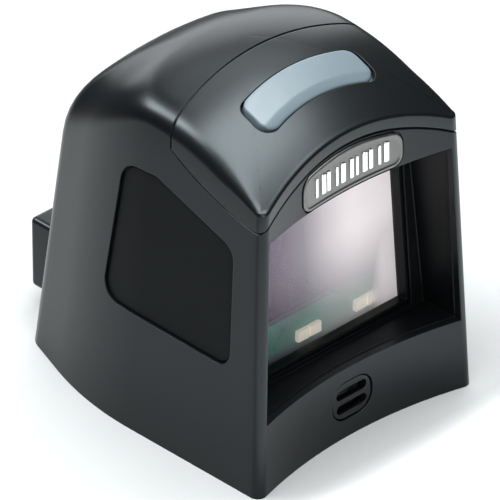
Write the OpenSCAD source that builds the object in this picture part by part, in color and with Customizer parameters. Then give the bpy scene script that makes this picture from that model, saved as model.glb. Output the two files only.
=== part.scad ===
// Hands-free presentation imager head: helmet-shaped plastic housing with a lift-off hood,
// a recessed reading window in a black tunnel, a back-lit press bar and a rear cable socket.
// +Z up, millimetres. The front faces -Y. Origin: middle of the stand hole, on the underside.

/* [Outer form] */
// width across the foot of the housing
body_w = 76; // [70:1:84]
// how far the middle of the front face lies behind its corners
front_hollow = 5.8; // [3:0.1:8]
// radius of the two upright front corners
corner_r = 2.4; // [1.5:0.1:4]
// length of the straight part of each side
side_run = 46.5; // [36:1:50]
// radius of the long curve behind the straight side
side_r = 95; // [80:1:140]
// turn of that curve, degrees
side_turn = 19.6; // [14:1:26]
// radius of the rear corner curve
rear_corner_r = 8; // [6:1:20]
// height of the hood lip in the middle of the front
lip_z = 86.2; // [80:0.1:92]
// rise of the roof line at the lip
roof_slope = 0.7; // [0.4:0.01:0.9]
// distance from the front corners to the crown
crown_y = 42.2; // [38:0.1:52]
// lean of the side walls, degrees
draft = 2.8; // [1:0.1:4]
// lean of the front face, degrees
front_lean = 1.9; // [0:0.1:4]
// lean of the rear wall, degrees
rear_lean = 8.3; // [3:0.1:12]
// radius of the dome over the rear wall
dome_r = 33; // [28:0.5:36]
// wall thickness of the mouldings
wall = 2; // [1.6:0.1:2.6]

/* [Window] */
// half width of the front opening at the sill
open_w = 34.1; // [30:0.1:35]
// height of the sill above the foot
sill_z = 20.1; // [16:0.1:26]
// height of the top of the front opening
head_z = 71.1; // [64:0.1:74]
// depth of the dark panel behind the front corners
panel_y = 13; // [10:0.5:18]
// tilt of the panel and the window, degrees
window_tilt = 5; // [0:0.5:9]
// half width of the clear window
window_w = 28.5; // [22:0.1:28.7]

/* [Press bar] */
// length of the press bar
bar_l = 37.6; // [30:0.2:40]
// width of the press bar
bar_w = 10.8; // [8:0.2:11.4]
// radius of the middle line of the curved bar
bar_r = 61.4; // [50:0.2:90]
// middle of the bar behind the front corners
bar_y = 23.2; // [20:0.2:27]
// press travel
travel = 1; // [0.5:0.1:1.4]

/* [Rear socket] */
// half width of the socket box
box_w = 16; // [11:0.5:18]
// rear face of the socket box behind the front corners
box_y = 105.5; // [102:0.5:108]

/* [Hidden] */

origin_y = 46;              // the origin sits this far behind the front corners
spine_y = 45;               // every section of the roof is drawn in towards this line
dome_x = 31.6; dome_y = 9.5; // half axes of the ellipse that closes the dome behind the spine
dome_run = 31.5;            // length over which the dome takes over from the shoulder rounding
h = body_w/2;
c = front_hollow;
tl = tan(front_lean); tr = tan(rear_lean); td = tan(draft);
eps = 0.01;

plastic = [0.16, 0.17, 0.18]; black = [0.05, 0.05, 0.055]; steel = [0.72, 0.73, 0.74];
green = [0.05, 0.32, 0.2]; brass = [0.75, 0.6, 0.3]; amber = [0.72, 0.45, 0.15];

// ---- closed-form helmet -------------------------------------------------------------------
function seg(a, b, n, first = 0) = [for (i = [first:n]) a + (b - a)*i/n];
face_r = (h*h + c*c)/(2*c);
side_l2 = 12; rear_turn = 80;
x1 = h - side_r*(1 - cos(side_turn)); y1 = side_run + side_r*sin(side_turn);
x2 = x1 - side_l2*sin(side_turn); y2 = y1 + side_l2*cos(side_turn);
x3 = x2 + rear_corner_r*(cos(rear_turn) - cos(side_turn));
y3 = y2 + rear_corner_r*(sin(rear_turn) - sin(side_turn));
rear_r = x3/cos(rear_turn);
depth = y3 + rear_r*(1 - sin(rear_turn));

// right half of the plan drawn in by i, front middle to rear middle:
// [x, y, direction the wall faces]; the plan is a chain of arcs that meet without a kink
function half_plan(i) = let(
  rc = max(corner_r - i, 0.25), cx = h - i - rc,
  cy = c - face_r + sqrt(pow(face_r + i + rc, 2) - cx*cx),
  fa = asin(cx/(face_r + i + rc)))
  concat(
  [for (b = seg(0, fa, 8)) [(face_r + i)*sin(b), c - face_r + (face_r + i)*cos(b), -90 - b]],
  [for (f = seg(-90 - fa, 0, 4, 1)) [cx + rc*cos(f), cy + rc*sin(f), f]],
  [for (y = seg(cy, side_run, 4, 1)) [h - i, y, 0]],
  [for (f = seg(0, side_turn, 4, 1))
    [h - side_r + (side_r - i)*cos(f), side_run + (side_r - i)*sin(f), f]],
  [[x2 - i*cos(side_turn), y2 - i*sin(side_turn), side_turn]],
  [for (f = seg(side_turn, rear_turn, 5, 1))
    [x2 - rear_corner_r*cos(side_turn) + (rear_corner_r - i)*cos(f),
     y2 - rear_corner_r*sin(side_turn) + (rear_corner_r - i)*sin(f), f]],
  [for (f = seg(rear_turn, 90, 3, 1))
    [(rear_r - i)*cos(f), depth - rear_r + (rear_r - i)*sin(f), f]]);
function plan(i = 0) = let(a = half_plan(i), n = len(a))
  concat(a, [for (k = [n - 2:-1:1]) [-a[k][0], a[k][1], 180 - a[k][2]]]);

// roof: rises from the lip to the crown, falls away to both sides and to the rear
function roof(x, y) = let(t = y - c, k = 0.0045 + 0.0012*min(max(y/35, 0), 1))
  lip_z + roof_slope*t - roof_slope*t*t/(2*(crown_y - c)) - k*x*x;
// the plan drawn in as the walls lean
function wall_at(p, z) = [p[0]*(1 - td*z/h), tl*z + p[1]*(1 - z*(tl + tr)/depth)];
function smooth(u) = u*u*(3 - 2*u);
// radius of the rounding where the wall meets the roof
function rounding(p, i) = let(
  rs = min(1.4 + 0.3*max(p[1] - 1.5, 0), 6.4),
  u = min(max((p[1] - side_run)/(depth - side_run), 0), 1),
  w = min(max(-sin(p[2]), 0), 1),
  r = rs + (dome_r - rs)*smooth(u)) max(r + (1.4 - r)*smooth(w) - i, 0.3);
// a point of the section with its wall taken at height z: part 0 is the wall, part 1 is where the
// rounding meets the roof; that line runs parallel to the sides and closes behind as half an ellipse
function toward(p, z, r, part) = let(q = wall_at(p, z), d = [q[0], q[1] - spine_y],
  behind = smooth(min(max((p[1] - side_run)/dome_run, 0), 1)),
  e = part*(1 - behind)*r,
  g = 1 - part*behind*(1 - 1/norm([d[0]/dome_x, d[1]/dome_y])))
  [d[0]*g - e*cos(p[2]), spine_y + d[1]*g - e*sin(p[2])];
function settle(p, r, i, z, n) = n == 0 ? z :
  let(q = toward(p, z + r, r, 1)) settle(p, r, i, roof(q[0], q[1]) - i - r, n - 1);
function rounded(p, r, z, a) = let(k = 1 - cos(a), up = z + r*sin(a),
  q = toward(p, up, r, k), e = toward(p, z + r, r, 1))
  [q[0], q[1], up + (roof(q[0], q[1]) - roof(e[0], e[1]))*k];
function crowned(e, f, i) = let(x = e[0]*f, y = spine_y + (e[1] - spine_y)*f)
  [x, y, roof(x, y) - i];

module form(i = 0, foot = 0) {
  round_n = i > 0.9 ? 5 : 6;
  crown_n = i > 0.9 ? 4 : 6;
  o = plan(i);
  n = len(o);
  rr = [for (p = o) rounding(p, i)];
  zt = [for (k = [0:n - 1]) settle(o[k], rr[k], i, 80, 16)];
  last = [for (k = [0:n - 1]) rounded(o[k], rr[k], zt[k], 90)];
  rings = concat(
    [for (f = [foot, 0.25, 0.5, 0.75, 1]) [for (k = [0:n - 1])
      let(z = zt[k]*f, q = wall_at(o[k], z)) [q[0], q[1], z]]],
    [for (j = [1:round_n]) [for (k = [0:n - 1]) rounded(o[k], rr[k], zt[k], 90*j/round_n)]],
    [for (j = [1:crown_n - 1]) [for (k = [0:n - 1]) crowned(last[k], 1 - j/crown_n, i)]]);
  m = len(rings);
  zf = zt[0]*foot;
  pts = concat([for (r = rings) for (p = r) p],
    [[0, spine_y, zf], [0, spine_y, roof(0, spine_y) - i]]);
  skin = [for (j = [0:m - 2]) for (k = [0:n - 1])
    let(a = j*n + k, b = j*n + (k + 1)%n) each [[a, b + n, b], [a, a + n, b + n]]];
  high = [for (k = [0:n - 1]) [m*n + 1, (m - 1)*n + (k + 1)%n, (m - 1)*n + k]];
  ground = [for (k = [0:n - 1]) [m*n, k, (k + 1)%n]];
  polyhedron(pts, concat(skin, ground, high), convexity = 6);
}
// the same skin carried below the foot, for hollowing
module core(i) form(i, -0.03);

// ---- shapes shared by several parts ---------------------------------------------------------
// parting surface under the hood, and everything of the hood above it
function seam_z(x, y) = let(t = max(y - 6, 0))
  74.2 + 0.15*t + 0.0075*t*t + 9.6*(1 - x*x/1200)*min(max(1.55 - y/18, 0), 1);
module above_seam(g) {
  nx = 12; ny = 9;
  sx = 6.9; sy = 6;
  pt = [for (j = [0:ny]) for (i = [0:nx]) let(x = (i - nx/2)*sx, y = -6 + j*sy)
    [x, y, seam_z(x, y) + g]];
  top = [for (p = pt) [p[0], p[1], 130]];
  w = nx + 1; q = len(pt);
  rim = concat([for (i = [0:nx - 1]) i], [for (j = [0:ny - 1]) j*w + nx],
    [for (i = [nx:-1:1]) ny*w + i], [for (j = [ny:-1:1]) j*w]);
  polyhedron(concat(pt, top), concat(
    [for (j = [0:ny - 1]) for (i = [0:nx - 1]) let(a = j*w + i)
      each [[a, a + 1, a + w + 1], [a, a + w + 1, a + w]]],
    [for (j = [0:ny - 1]) for (i = [0:nx - 1]) let(a = q + j*w + i)
      each [[a, a + w + 1, a + 1], [a, a + w, a + w + 1]]],
    [for (k = [0:len(rim) - 1]) let(a = rim[k], b = rim[(k + 1)%len(rim)])
      each [[a, a + q, b + q], [a, b + q, b]]]), convexity = 4);
}
module hood_zone(g = 0) intersection() {
  above_seam(g);
  translate([0, 39.2 - 147, 0]) cylinder(r = 147 - g, h = 125, $fn = 200);
}
module box(x, y, z) translate([x[0], y[0], z[0]]) cube([x[1] - x[0], y[1] - y[0], z[1] - z[0]]);
module front_opening(g = 0) {
  w0 = open_w - g; w1 = open_w - g - td*(head_z - sill_z);
  rotate([90, 0, 0]) translate([0, 0, -12]) linear_extrude(20)
    polygon([[-w0, sill_z + g], [w0, sill_z + g], [w1, head_z - g], [-w1, head_z - g]]);
}
// a prism through the left side wall with the outline of the grip pad
module grip_prism(g) rotate([90, 0, 90]) translate([0, 0, -44]) linear_extrude(22) hull() {
  translate([17, 37.4]) circle(r = 4.7 - g, $fn = 28);
  translate([17.3, 63]) circle(r = 4.9 - g, $fn = 28);
  translate([40.5, 69.4]) circle(r = 6 - g, $fn = 28);
  translate([46, 68]) circle(r = 7 - g, $fn = 28);
  translate([52.8, 38.3]) circle(r = 5 - g, $fn = 28);
}
badge_w = 17.1; badge_z0 = 71.6; badge_z1 = 81.6;
module badge_prism(g) rotate([90, 0, 0]) translate([0, 0, -12]) linear_extrude(20) hull() {
  for (s = [-1, 1]) {
    translate([s*(badge_w - 3), badge_z0 + 3]) circle(r = 3 - g, $fn = 28);
    translate([s*(badge_w - 4), badge_z1 - 4]) circle(r = 4 - g, $fn = 28);
  }
  for (x = [-8, -4, 0, 4, 8]) translate([x, badge_z1 - 4 + 1.5*(1 - x*x/150)]) circle(r = 4 - g, $fn = 28);
}
grille_z = 10.7;
module grille_prism(g) rotate([90, 0, 0]) translate([0, 0, -12]) linear_extrude(20) hull()
  for (x = [-2.2, 2.2], z = [-0.6, 0.6]) translate([x, grille_z + z]) circle(r = 4.9 - g, $fn = 40);
// local frame of the press bar: z along the outward normal of the hood
bar_corner = 3.4;
bar_a = atan(roof_slope*(1 - (bar_y - c)/(crown_y - c)));
module at_bar() translate([0, bar_y, roof(0, bar_y)]) rotate([bar_a, 0, 0]) children();
// outline of the curved bar, grown by g all round and by more at its two ends
module bar_outline(g, more = 0) translate([0, -bar_r]) offset(r = bar_corner + g, $fn = 36) difference() {
  intersection() {
    circle(r = bar_r + bar_w/2 - bar_corner, $fn = 300);
    translate([-bar_l/2 - more + bar_corner, 0]) square([bar_l + 2*more - 2*bar_corner, 2*bar_r]);
  }
  circle(r = bar_r - bar_w/2 + bar_corner, $fn = 300);
}
module bar_prism(g, z0, z1, more = 0) at_bar() translate([0, 0, z0]) linear_extrude(z1 - z0)
  bar_outline(g, more);
module tilted() translate([0, panel_y, 0]) rotate([-window_tilt, 0, 0]) children();
module mesh() resize([0, 0, 0]) children();
module place() translate([0, -origin_y, 0]) children();
module pan_screw(d, l, head_d, head_h) {     // head on top of the shank, pointing -Z
  cylinder(d = d, h = l, $fn = 32);
  translate([0, 0, -head_h]) difference() {
    cylinder(d = head_d, h = head_h + eps, $fn = 48);
    for (a = [0, 90]) rotate(a) box([-head_d*0.33, head_d*0.33], [-0.35, 0.35], [-0.1, head_h*0.55]);
  }
}
// tabs: [x range, y range, z range, height of the parting line there]
tabs = [for (t = [[12, 18, 72.7, 78.6, 74.3], [25, 31, 73, 83, 78.8]], x = [-36, 30])
  [[x, x + 6], [t[0], t[1]], [t[2], t[3]], t[4]]];
module tab(t, up) box(t[0], t[1], [t[2][0], up > 0 ? t[2][1] : t[3] - 0.6]);
base_at = [[-29, 13], [29, 13], [-23.5, 80], [23.5, 80]];
leg_at = [[-23.5, 29.5], [23.5, 29.5], [-24.5, 57.5], [24.5, 57.5]];
hood_at = [[-27.6, 33.6], [27.6, 33.6]];
base_t = 2.6;
shelf_z = 70;

// ---- mouldings --------------------------------------------------------------------------------
module main_housing() color(plastic) place() difference() {
  union() {
    mesh() union() {
      difference() {
        form(0);
        core(wall);
        hood_zone(0);
        front_opening();
        grille_prism(0);
        for (s = [0, 1]) mirror([s, 0, 0]) intersection() {
          grip_prism(0);
          difference() { form(-1); form(1.3); }
        }
        intersection() { badge_prism(-0.45); difference() { form(-1); form(0.7); } }
        box([-10.9, 10.9], [85, 110], [5.8, 24]);
      }
      // upstanding tabs that locate the hood
      for (t = tabs) {
        intersection() { difference() { form(wall + 0.15); form(wall + 1.3); } tab(t, 5); }
        intersection() { difference() { form(wall - 0.4); form(wall + 1.3); } tab(t, 0); }
      }
    }
    // screw posts joined to the walls
    for (p = base_at) translate([p[0], p[1], base_t + 0.1]) cylinder(d = 6.4, h = 11, $fn = 40);
    for (s = [-1, 1]) {
      translate([s*32, 13, base_t + 5.6]) cube([8, 1.6, 11], center = true);
      translate([s*26.2, 83.5, base_t + 5.6]) rotate(s*-38) cube([1.6, 7.4, 11], center = true);
    }
  }
  for (p = base_at) translate([p[0], p[1], 0]) cylinder(d = 3, h = 12.4, $fn = 32);
}
module hood() color(plastic*1.25) place() difference() {
  union() {
    mesh() union() {
      difference() {
        intersection() { form(0); hood_zone(0.14); }
        core(wall);
        bar_prism(0.3, -12, 8, 0.9);
      }
      intersection() {
        union() for (p = hood_at) translate([p[0], p[1], shelf_z + 2.1]) cylinder(d = 5, h = 30, $fn = 32);
        form(0.95);
      }
    }
  }
  for (p = hood_at) translate([p[0], p[1], shelf_z - 1]) cylinder(d = 2.5, h = 12, $fn = 28);
}
module base_plate() color(black*1.6) place() difference() {
  union() {
    linear_extrude(base_t) polygon([for (p = plan(wall + 0.55)) [p[0], p[1]]]);
    translate([0, origin_y, 0]) cylinder(d = 15, h = 12, $fn = 64);
    for (a = [30:60:330]) translate([0, origin_y, base_t + 2]) rotate(a) box([5.5, 14], [-0.8, 0.8], [-3, 2.5]);
    for (s = [-1, 1]) box([s*4.6 - 0.8, s*4.6 + 0.8], [11.4, 16.2], [base_t - 1, 5.2]);
  }
  for (p = base_at) translate([p[0], p[1], -1]) { cylinder(d = 3.2, h = 5, $fn = 32); cylinder(d = 6.4, h = 2.3, $fn = 48); }
  for (p = leg_at) translate([p[0], p[1], -1]) { cylinder(d = 2.8, h = 5, $fn = 32); cylinder(d = 5.4, h = 2.3, $fn = 48); }
  translate([0, origin_y, -1]) cylinder(d = 9, h = 12, $fn = 48);
  for (s = [-1, 1]) translate([s*13, origin_y, -1]) cylinder(d = 4, h = 6, $fn = 32);
  box([-16, 16], [62, 80], [-1, 0.3]);
}
module tunnel_liner() color(black) place() mesh() difference() {
  intersection() {
    form(wall + 0.12);
    tilted() box([-40, 40], [-20, 1.6], [17.6, 73.6]);
    box([-40, 40], [-5, 40], [sill_z - 1.3, head_z + 1.2]);
  }
  intersection() {
    form(wall + 1);
    tilted() box([-40, 40], [-20, 0], [10, 80]);
    box([-40, 40], [-5, 40], [sill_z, head_z]);
  }
  front_opening(0.1);
  // window hole, slightly larger than the frame nose
  tilted() box([-window_w - 1.35, window_w + 1.35], [-1, 3], [sill_z + 1.2, head_z - 0.9]);
}
module window_frame() color(black*1.2) place() tilted() difference() {
  union() {
    box([-window_w - 1.2, window_w + 1.2], [0.5, 1.7], [sill_z + 1.35, head_z - 1.05]);
    box([-window_w - 3.6, window_w + 3.6], [1.7, 3.2], [sill_z + 0.2, head_z - 0.2]);
  }
  box([-window_w, window_w], [-1, 5], [sill_z + 2.5, head_z - 2.2]);
  for (x = [-window_w - 2.4, window_w + 2.4], z = [sill_z + 6, head_z - 6])
    translate([x, 5, z]) rotate([90, 0, 0]) cylinder(d = 1.3, h = 6, $fn = 20);
}
module window_gasket() color([0.1, 0.1, 0.1]) place() tilted() difference() {
  box([-window_w - 1.4, window_w + 1.4], [3.21, 3.6], [sill_z + 1.2, head_z - 1]);
  box([-window_w - 0.1, window_w + 0.1], [3, 4], [sill_z + 2.4, head_z - 2.1]);
}
module window() color([0.75, 0.7, 0.78]) place() tilted()
  box([-window_w - 1.4, window_w + 1.4], [3.61, 5.1], [sill_z + 1.2, head_z - 1]);
module grip_pad() mesh() intersection() {
  difference() { form(0.7); form(1.29); }
  grip_prism(0.3);
}
module side_grip_left() color(black*1.4) place() grip_pad();
module side_grip_right() color(black*1.4) place() mirror([1, 0, 0]) grip_pad();
module badge_plate() color(steel*0.8) place() mesh() intersection() {
  difference() { form(-0.35); form(0.69); }
  badge_prism(0);
}
// plain upright bars of mixed width on the badge
bars = [-12, -9.4, -7.6, -4.6, -2.4, 0.6, 2.4, 5, 7, 9.8, 12];
module badge_bars() color(steel) place() mesh() intersection() {
  difference() { form(-0.55); form(-0.36); }
  for (i = [0:len(bars) - 1]) let(w = 0.45 + 0.35*((i*5)%3)/2)
    box([bars[i] - w, bars[i] + w], [-6, 12], [badge_z0 + 2.6, badge_z1 - 1.8]);
}

// ---- beeper -------------------------------------------------------------------------------------
module beeper_grille() color(plastic*0.9) place() mesh() difference() {
  intersection() {
    union() {
      intersection() { difference() { form(0.2); form(wall - 0.02); } grille_prism(0.3); }
      intersection() { difference() { form(wall + 0.02); form(wall + 0.8); } grille_prism(-1); }
      intersection() { difference() { form(0.8); form(wall + 0.4); } grille_prism(0.3); }
    }
    grille_prism(-1);
  }
  for (z = [-2.05, 2.05]) rotate([90, 0, 0]) translate([0, 0, -16]) linear_extrude(24) hull()
    for (x = [-3.9, 3.9]) translate([x, grille_z + z]) circle(r = 1.35, $fn = 20);
}
module beeper_gasket() color([0.12, 0.12, 0.12]) place() translate([0, 11.2, grille_z]) rotate([90, 0, 0])
  difference() { cylinder(d = 11.6, h = 1.7, $fn = 48); translate([0, 0, -1]) cylinder(d = 8.6, h = 4, $fn = 48); }
module beeper() color(black) place() translate([0, 16.4, grille_z]) rotate([90, 0, 0]) difference() {
  cylinder(d = 12, h = 5.2, $fn = 64);
  translate([0, 0, 3.6]) cylinder(d = 2.4, h = 3, $fn = 32);
}

// ---- press bar ------------------------------------------------------------------------------------
module press_bar() color([0.7, 0.84, 0.9]) place() mesh() union() {
  difference() {
    union() { intersection() { form(-0.6); bar_prism(0, -5, 8); } bar_prism(1.6, -5.4, -4.75, 0.4); }
    bar_prism(-1.3, -9, -2.6);
  }
}
module bar_carrier() color([0.85, 0.86, 0.86]) place() at_bar() {
  for (x = [-12, -4, 4, 12]) box([x - 0.6, x + 0.6], [-2.8, 2.4], [-7, -2.65]);
  box([-13, 13], [-0.6, 0.6], [-7, -2.65]);
  box([-18, 18], [-3.4, 3.4], [-7.5, -6]);
  for (s = [-1, 1]) box([s*17.9 - 0.9, s*17.9 + 0.9], [-3.4, 3.4], [-7.5, -5.41]);
  for (x = [-14, 14]) translate([x, 0, -14.2]) cylinder(d = 3, h = 6.8, $fn = 32);
}
module switch_plunger() color([0.3, 0.3, 0.32]) place() at_bar()
  translate([0, 0, -10]) cylinder(d = 3.4, h = 2.49, $fn = 32);
module tact_switch() color([0.1, 0.1, 0.1]) place() at_bar() difference() {
  box([-3, 3], [-3, 3], [-12, -9.2]);
  translate([0, 0, -11.6]) cylinder(d = 3.8, h = 4, $fn = 32);
}
module bar_board() color(green) place() at_bar() difference() {
  box([-18, 18], [-5.5, 5.5], [-13, -12.01]);
  for (x = [-14, 14]) translate([x, 0, -14]) cylinder(d = 3.4, h = 4, $fn = 32);
}
module bar_lights() color([0.95, 0.95, 0.9]) place() at_bar() for (x = [-9.5, -6, 6, 9.5])
  box([x - 1.2, x + 1.2], [-1, 1], [-12, -11.2]);
module bar_bracket() color(black*1.5) place() difference() {
  union() {
    at_bar() box([-20, 20], [-6, 6], [-15, -13.01]);
    for (s = [-1, 1]) difference() {
      box([s*17.6 - 1.6, s*17.6 + 1.6], [27.4, 33], [shelf_z + 2.01, 88]);
      at_bar() box([-30, 30], [-20, 20], [-14, 20]);
    }
    for (s = [-1, 1]) box([s*17.6 - 1, s*17.6 + 1], [32, 37], [shelf_z + 2.01, shelf_z + 4]);
  }
  at_bar() for (x = [-14, 14]) translate([x, 0, -16]) cylinder(d = 3.3, h = 5, $fn = 32);
}

// ---- inside frame and optics -------------------------------------------------------------------------
module chassis() color(black*1.5) place() difference() {
  union() {
    box([-30, 30], [27, 60], [shelf_z, shelf_z + 2]);
    for (p = leg_at) translate([p[0] - 2.5, p[1] - 2.5, base_t + 0.01]) cube([5, 5, shelf_z - base_t]);
    for (s = [-1, 1]) box([s*24.5 - 1, s*24.5 + 1], [30, 57], [20, 24]);
  }
  box([-16, 16], [33, 56], [shelf_z - 1, shelf_z + 3]);
  for (p = hood_at) translate([p[0], p[1], shelf_z - 1]) cylinder(d = 2.8, h = 4, $fn = 28);
  for (p = leg_at) translate([p[0], p[1], 0]) cylinder(d = 2.5, h = 12, $fn = 28);
  for (x = [-24.5, 24.5], z = [16, 60]) translate([x, 61, z]) rotate([90, 0, 0]) cylinder(d = 2, h = 5, $fn = 24);
  for (x = [-24.5, 24.5], z = [34, 58]) translate([x, 58.2, z]) rotate([90, 0, 0]) cylinder(d = 2, h = 4, $fn = 24);
}
module camera_bracket() color(steel*0.7) place() difference() {
  union() {
    box([-28, 28], [53.2, 54.99], [28, 64]);
    for (x = [-12, 12], z = [34, 58]) translate([x, 54, z]) rotate([90, 0, 0]) cylinder(d = 4, h = 4, $fn = 32);
  }
  for (x = [-24.5, 24.5], z = [34, 58]) translate([x, 60, z]) rotate([90, 0, 0]) cylinder(d = 2.3, h = 9, $fn = 24);
  box([-7, 7], [50, 60], [40, 52]);
}
module sensor_board() color(green) place() difference() {
  box([-15, 15], [48.4, 49.99], [31, 61]);
  for (x = [-12, 12], z = [34, 58]) translate([x, 60, z]) rotate([90, 0, 0]) cylinder(d = 2, h = 19, $fn = 20);
}
module lens_holder() color(black) place() difference() {
  union() {
    box([-9, 9], [42, 48.39], [37, 55]);
    translate([0, 43, 46]) rotate([90, 0, 0]) cylinder(d = 16, h = 5, $fn = 64);
  }
  translate([0, 49, 46]) rotate([90, 0, 0]) cylinder(d = 12.1, h = 12, $fn = 64);
}
module lens_barrel() color([0.12, 0.12, 0.13]) place() translate([0, 44, 46]) rotate([90, 0, 0]) difference() {
  union() { cylinder(d = 12, h = 12, $fn = 64); translate([0, 0, 9]) cylinder(d = 14, h = 3, $fn = 64); }
  translate([0, 0, -1]) cylinder(d = 9.6, h = 15, $fn = 64);
}
module lens() color([0.5, 0.55, 0.7]) place() translate([0, 36.4, 46]) rotate([90, 0, 0])
  cylinder(d = 9.5, h = 2.4, $fn = 64);
lamp_y = 22;
module lamp_board() color(green) place() box([-25, 25], [lamp_y, lamp_y + 1.6], [14, 30]);
module lamps() color([0.95, 0.9, 0.8]) place() for (g = [-20.2, 0, 20.2], s = [-1, 1])
  box([g + s*2.1 - 1.9, g + s*2.1 + 1.9], [lamp_y - 1.2, lamp_y - 0.01], [21.8, 24.7]);
module lamp_spacers() color(black*1.5) place() for (s = [-1, 1]) translate([s*23, 26.98, 19])
  rotate([90, 0, 0]) cylinder(d = 3.4, h = 3.36, $fn = 32);

// ---- electronics --------------------------------------------------------------------------------------
module main_board() color(green) place() difference() {
  box([-28, 28], [60.01, 61.6], [10, 66]);
  for (x = [-24.5, 24.5], z = [16, 60]) translate([x, 65, z]) rotate([90, 0, 0]) cylinder(d = 2.3, h = 8, $fn = 24);
}
module shield_can() color(steel) place() box([-20, 2], [61.61, 64], [34, 56]);
module board_chips() color([0.08, 0.08, 0.08]) place() {
  box([6, 18], [61.61, 63], [36, 48]);
  box([-16, -6], [61.61, 62.8], [18, 26]);
  box([8, 20], [61.61, 64.6], [22, 28]);
}
module board_sockets() color([0.9, 0.88, 0.8]) place() {
  box([-6, 6], [61.61, 62.7], [57, 60]);
  box([8, 16], [61.61, 63.2], [57, 60]);
  box([-8, 8], [61.61, 65], [12, 16]);
}
// a flat ribbon along a side-view path, with mitred bends
function unit(v) = v/norm(v);
function side(p, k) = let(n = len(p),
  a = k > 0 ? unit(p[k] - p[k - 1]) : unit(p[1] - p[0]),
  b = k < n - 1 ? unit(p[k + 1] - p[k]) : a, m = unit(a + b)) [-m[1], m[0]]/(m*b);
module ribbon(x, path, t = 0.3) rotate([90, 0, 90]) translate([0, 0, x[0]]) linear_extrude(x[1] - x[0])
  polygon(concat([for (k = [0:len(path) - 1]) path[k] + side(path, k)*t/2],
    [for (k = [len(path) - 1:-1:0]) path[k] - side(path, k)*t/2]));
module sensor_flex() color(amber) place()
  ribbon([-5, 5], [[50.3, 57], [51.6, 59], [51.6, 67], [63.2, 67], [63.2, 60.2]]);
module bar_flex() color(amber) place()
  ribbon([9, 15], [[33.5, 86.2], [50, 84], [65, 78], [65, 62.5], [63.6, 59.5]]);
module socket_flex() color(amber) place()
  ribbon([-6, 6], [[65.2, 14], [80, 14], [93.8, 15]]);

// ---- rear socket ------------------------------------------------------------------------------------------
module socket_box() color(plastic*0.9) place() mesh() difference() {
  union() {
    difference() {
      hull() for (x = [-box_w + 1.5, box_w - 1.5], z = [7, 24.6]) {
        translate([x, 84, z]) rotate([-90, 0, 0]) cylinder(r = 1.5, h = box_y - 85.5, $fn = 24);
        translate([x, box_y - 1.5, z]) sphere(r = 1.5, $fn = 24);
      }
      form(-0.05);
    }
    intersection() {
      box([-10.75, 10.75], [86, 100], [5.95, 23.85]);
      difference() { form(-0.3); form(wall + 1.4); }
    }
  }
  box([-8.6, 8.6], [86, box_y - 2], [4, 22.4]);
}
module socket_jack() color([0.07, 0.07, 0.07]) place() difference() {
  box([-8.4, 8.4], [94.2, box_y - 2.1], [6, 22.2]);
  box([-5.9, 5.9], [95.6, box_y - 3.2], [5, 19]);
  box([-3, 3], [box_y - 4, box_y - 2.6], [5, 19]);
}
module jack_contacts() color(brass) place() for (i = [-4:4])
  box([i*1.1 - 0.25, i*1.1 + 0.25], [95.61, 96], [8, 18.9]);

// ---- stand insert, fasteners, label ---------------------------------------------------------------------------
module stand_insert() color(brass) place() translate([0, origin_y, 0]) difference() {
  cylinder(d = 8.98, h = 10, $fn = 48);
  translate([0, 0, -1]) cylinder(d = 5, h = 10, $fn = 48);
}
module base_screws() color(steel) place() for (p = base_at) translate([p[0], p[1], 1.28])
  pan_screw(2.9, 10.5, 5.6, 1.2);
module chassis_screws() color(steel) place() for (p = leg_at) translate([p[0], p[1], 1.28])
  pan_screw(2.4, 9.5, 4.8, 1.1);
module hood_screws() color(steel) place() for (p = hood_at) translate([p[0], p[1], shelf_z - 0.01])
  pan_screw(2.4, 11, 4.4, 1.4);
module board_screws() color(steel) place() for (x = [-24.5, 24.5], z = [16, 60])
  translate([x, 61.61, z]) rotate([90, 0, 0]) pan_screw(1.9, 4.8, 3.8, 1.2);
module bracket_screws() color(steel) place() for (x = [-24.5, 24.5], z = [34, 58])
  translate([x, 53.19, z]) rotate([-90, 0, 0]) pan_screw(1.9, 4.6, 3.8, 1.2);
module rating_label() color([0.8, 0.8, 0.8]) place() box([-15.7, 15.7], [62.3, 79.7], [0.12, 0.29]);

main_housing();
hood();
base_plate();
tunnel_liner();
window_frame();
window_gasket();
window();
side_grip_left();
side_grip_right();
badge_plate();
badge_bars();
beeper_grille();
beeper_gasket();
beeper();
press_bar();
bar_carrier();
switch_plunger();
tact_switch();
bar_board();
bar_lights();
bar_bracket();
chassis();
camera_bracket();
sensor_board();
lens_holder();
lens_barrel();
lens();
lamp_board();
lamps();
lamp_spacers();
main_board();
shield_can();
board_chips();
board_sockets();
sensor_flex();
bar_flex();
socket_flex();
socket_box();
socket_jack();
jack_contacts();
stand_insert();
base_screws();
chassis_screws();
hood_screws();
board_screws();
bracket_screws();
rating_label();
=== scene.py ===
import bpy, bmesh, math
import numpy as np
from mathutils import Matrix, Vector


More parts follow.
